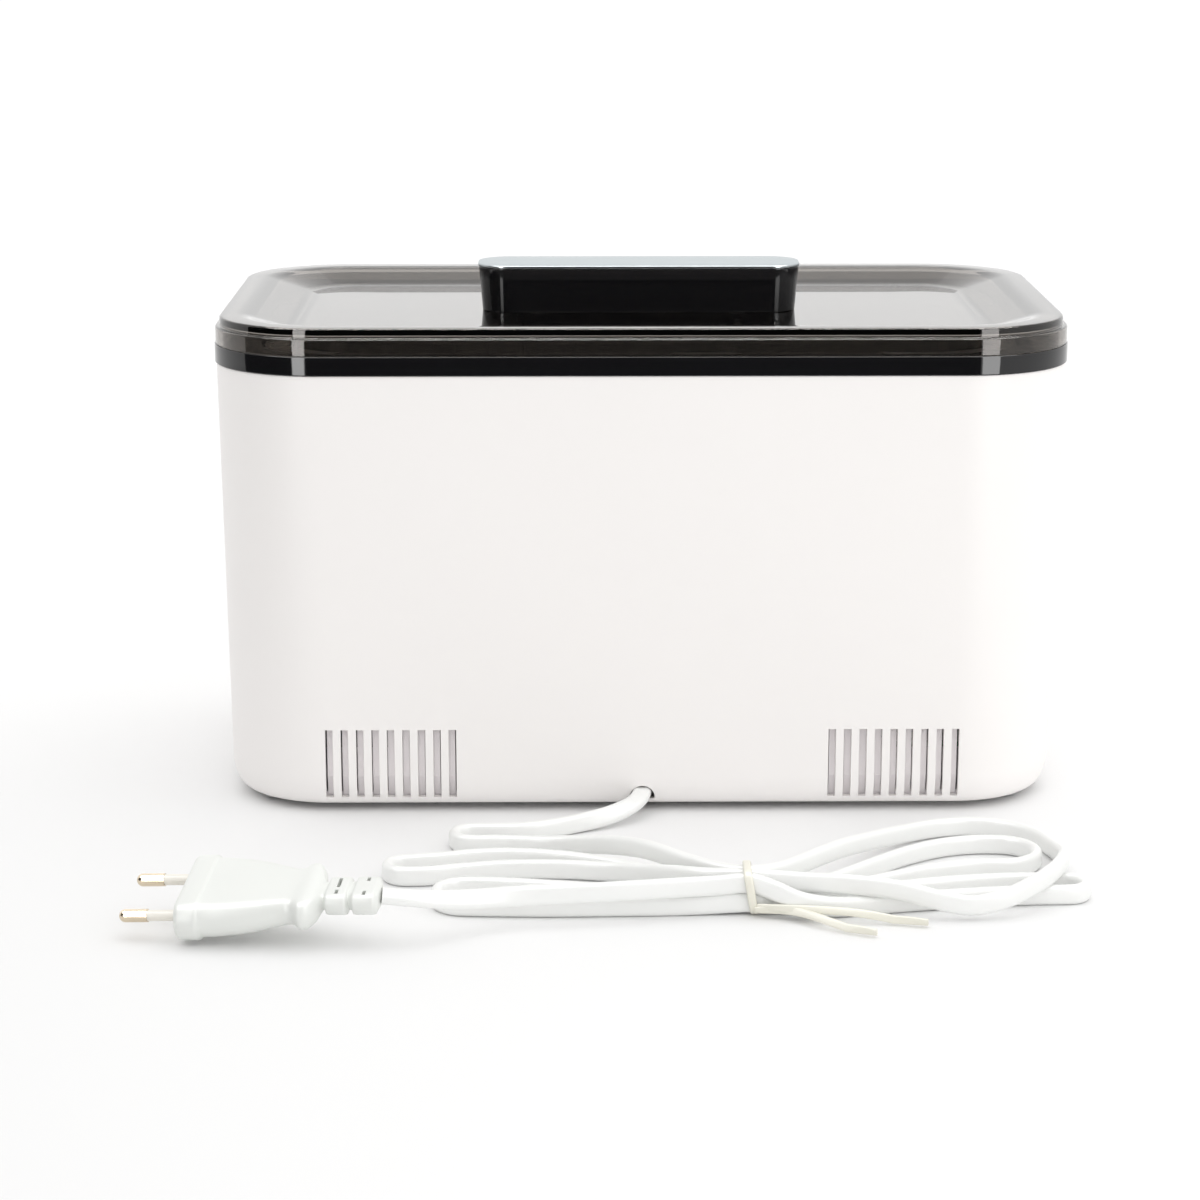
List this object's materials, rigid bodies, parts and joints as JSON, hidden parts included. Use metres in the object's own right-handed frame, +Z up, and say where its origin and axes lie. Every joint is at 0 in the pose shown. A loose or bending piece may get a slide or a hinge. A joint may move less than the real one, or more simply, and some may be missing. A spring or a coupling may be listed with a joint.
{
  "type": "ultrasonic cleaner",
  "caption": "Bench-top ultrasonic cleaner with a boxy rounded body, lift-off smoked lid, hanging tank, slotted basket, push-button panel and a tied flat mains cord.",
  "frame": {"origin": "centre of the footprint of the cleaner without its free cord, on the plane the feet stand on", "axes": "+Z up, +X along the width, -Y out of the front control panel and +Y out of the rear wall with the vents and the cord hole"},
  "size_m": [0.3036, 0.3052, 0.177],
  "materials": {
    "white_shell": "moulded, semi-gloss",
    "black_trim": "moulded, high gloss",
    "base_plastic": "fine moulded grain",
    "screw_steel": "zinc plated",
    "foot_rubber": "matt",
    "baffle_plastic": "ribbed, matt",
    "tank_steel": "satin stainless",
    "seal_silicone": "soft, matt",
    "bracket_steel": "plated",
    "heater_silicone": "woven silicone",
    "sensor_body": "matt",
    "horn_aluminium": "turned",
    "piezo_ceramic": "fired, matt",
    "electrode_brass": "bare sheet",
    "bolt_steel": "black oxide",
    "circuit_board": "solder mask",
    "component_black": "moulded",
    "capacitor_sleeve": "shrink sleeve",
    "relay_case": "moulded",
    "connector_plastic": "moulded",
    "ferrite_core": "sintered",
    "coil_copper": "enamelled copper wire",
    "lead_brown": "wire sleeve",
    "lead_red": "wire sleeve",
    "lead_grey": "ribbon wire",
    "panel_gloss": "polished",
    "display_glass": "tinted",
    "light_pipe": "clear pipe",
    "button_silver": "metallic paint",
    "cord_vinyl": "soft vinyl",
    "tie_vinyl": "coated wire",
    "plug_vinyl": "moulded vinyl",
    "sleeve_plastic": "moulded",
    "pin_nickel": "plated brass",
    "smoked_lid": "smoked, polished",
    "handle_silver": "brushed",
    "basket_plastic": "moulded grain"
  },
  "bodies": {
    "base": {"housing_shell": "white_shell", "trim_ring": "black_trim", "base_cover": "base_plastic", "base_screws": "screw_steel", "feet": "foot_rubber", "vent_baffle_left": "baffle_plastic", "vent_baffle_right": "baffle_plastic", "tank": "tank_steel", "tank_seal": "seal_silicone", "tank_clamps": "bracket_steel", "clamp_screws": "screw_steel", "heater_pad": "heater_silicone", "temperature_sensor": "sensor_body", "transducer_horns": "horn_aluminium", "piezo_rings": "piezo_ceramic", "electrodes": "electrode_brass", "back_masses": "bracket_steel", "transducer_bolts": "bolt_steel", "power_board": "circuit_board", "power_board_screws": "screw_steel", "heat_sink": "horn_aluminium", "power_transistors": "component_black", "capacitors": "capacitor_sleeve", "relay": "relay_case", "fuse_holder": "screw_steel", "terminal_blocks": "connector_plastic", "transformer_core": "ferrite_core", "transformer_coil": "coil_copper", "transformer_screws": "screw_steel", "earth_tag": "electrode_brass", "earth_nut": "screw_steel", "mains_leads": "lead_brown", "transducer_leads": "lead_red", "panel_harness": "lead_grey", "control_panel": "panel_gloss", "display_window": "display_glass", "display_module": "connector_plastic", "indicator_lights": "light_pipe", "control_board": "circuit_board", "control_board_screws": "screw_steel", "tact_switches": "component_black", "cord_grommet": "cord_vinyl", "cord_clamp": "component_black", "cord_clamp_screws": "screw_steel", "mains_cord": "cord_vinyl", "cord_hank": "cord_vinyl", "cord_tie": "tie_vinyl", "cord_tail": "cord_vinyl", "plug_body": "plug_vinyl", "plug_sleeves": "sleeve_plastic", "plug_pins": "pin_nickel"},
    "time_key": {"time_button": "button_silver"},
    "heat_key": {"heat_button": "button_silver"},
    "start_key": {"start_button": "button_silver"},
    "stop_key": {"stop_button": "button_silver"},
    "lid": {"lid_shell": "smoked_lid", "lid_handle": "black_trim", "handle_cap": "handle_silver", "handle_screws": "screw_steel"},
    "basket": {"basket": "basket_plastic"}
  },
  "joints": [
    {"name": "lid_lift", "type": "slide", "parent": "base", "child": "lid", "axis": [0, 0, 1], "range_m": [0, 0.26]},
    {"name": "basket_lift", "type": "slide", "parent": "base", "child": "basket", "axis": [0, 0, 1], "range_m": [0, 0.13]},
    {"name": "time_press", "type": "slide", "parent": "base", "child": "time_key", "axis": [0, 1, 0], "range_m": [0, 0.0008], "stiffness_N_per_m": 600},
    {"name": "heat_press", "type": "slide", "parent": "base", "child": "heat_key", "axis": [0, 1, 0], "range_m": [0, 0.0008], "stiffness_N_per_m": 600},
    {"name": "start_press", "type": "slide", "parent": "base", "child": "start_key", "axis": [0, 1, 0], "range_m": [0, 0.0008], "stiffness_N_per_m": 600},
    {"name": "stop_press", "type": "slide", "parent": "base", "child": "stop_key", "axis": [0, 1, 0], "range_m": [0, 0.0008], "stiffness_N_per_m": 600}
  ],
  "couplings": [
    {"joint": "basket_lift", "follows": "lid_lift", "ratio": 0.5}
  ]
}
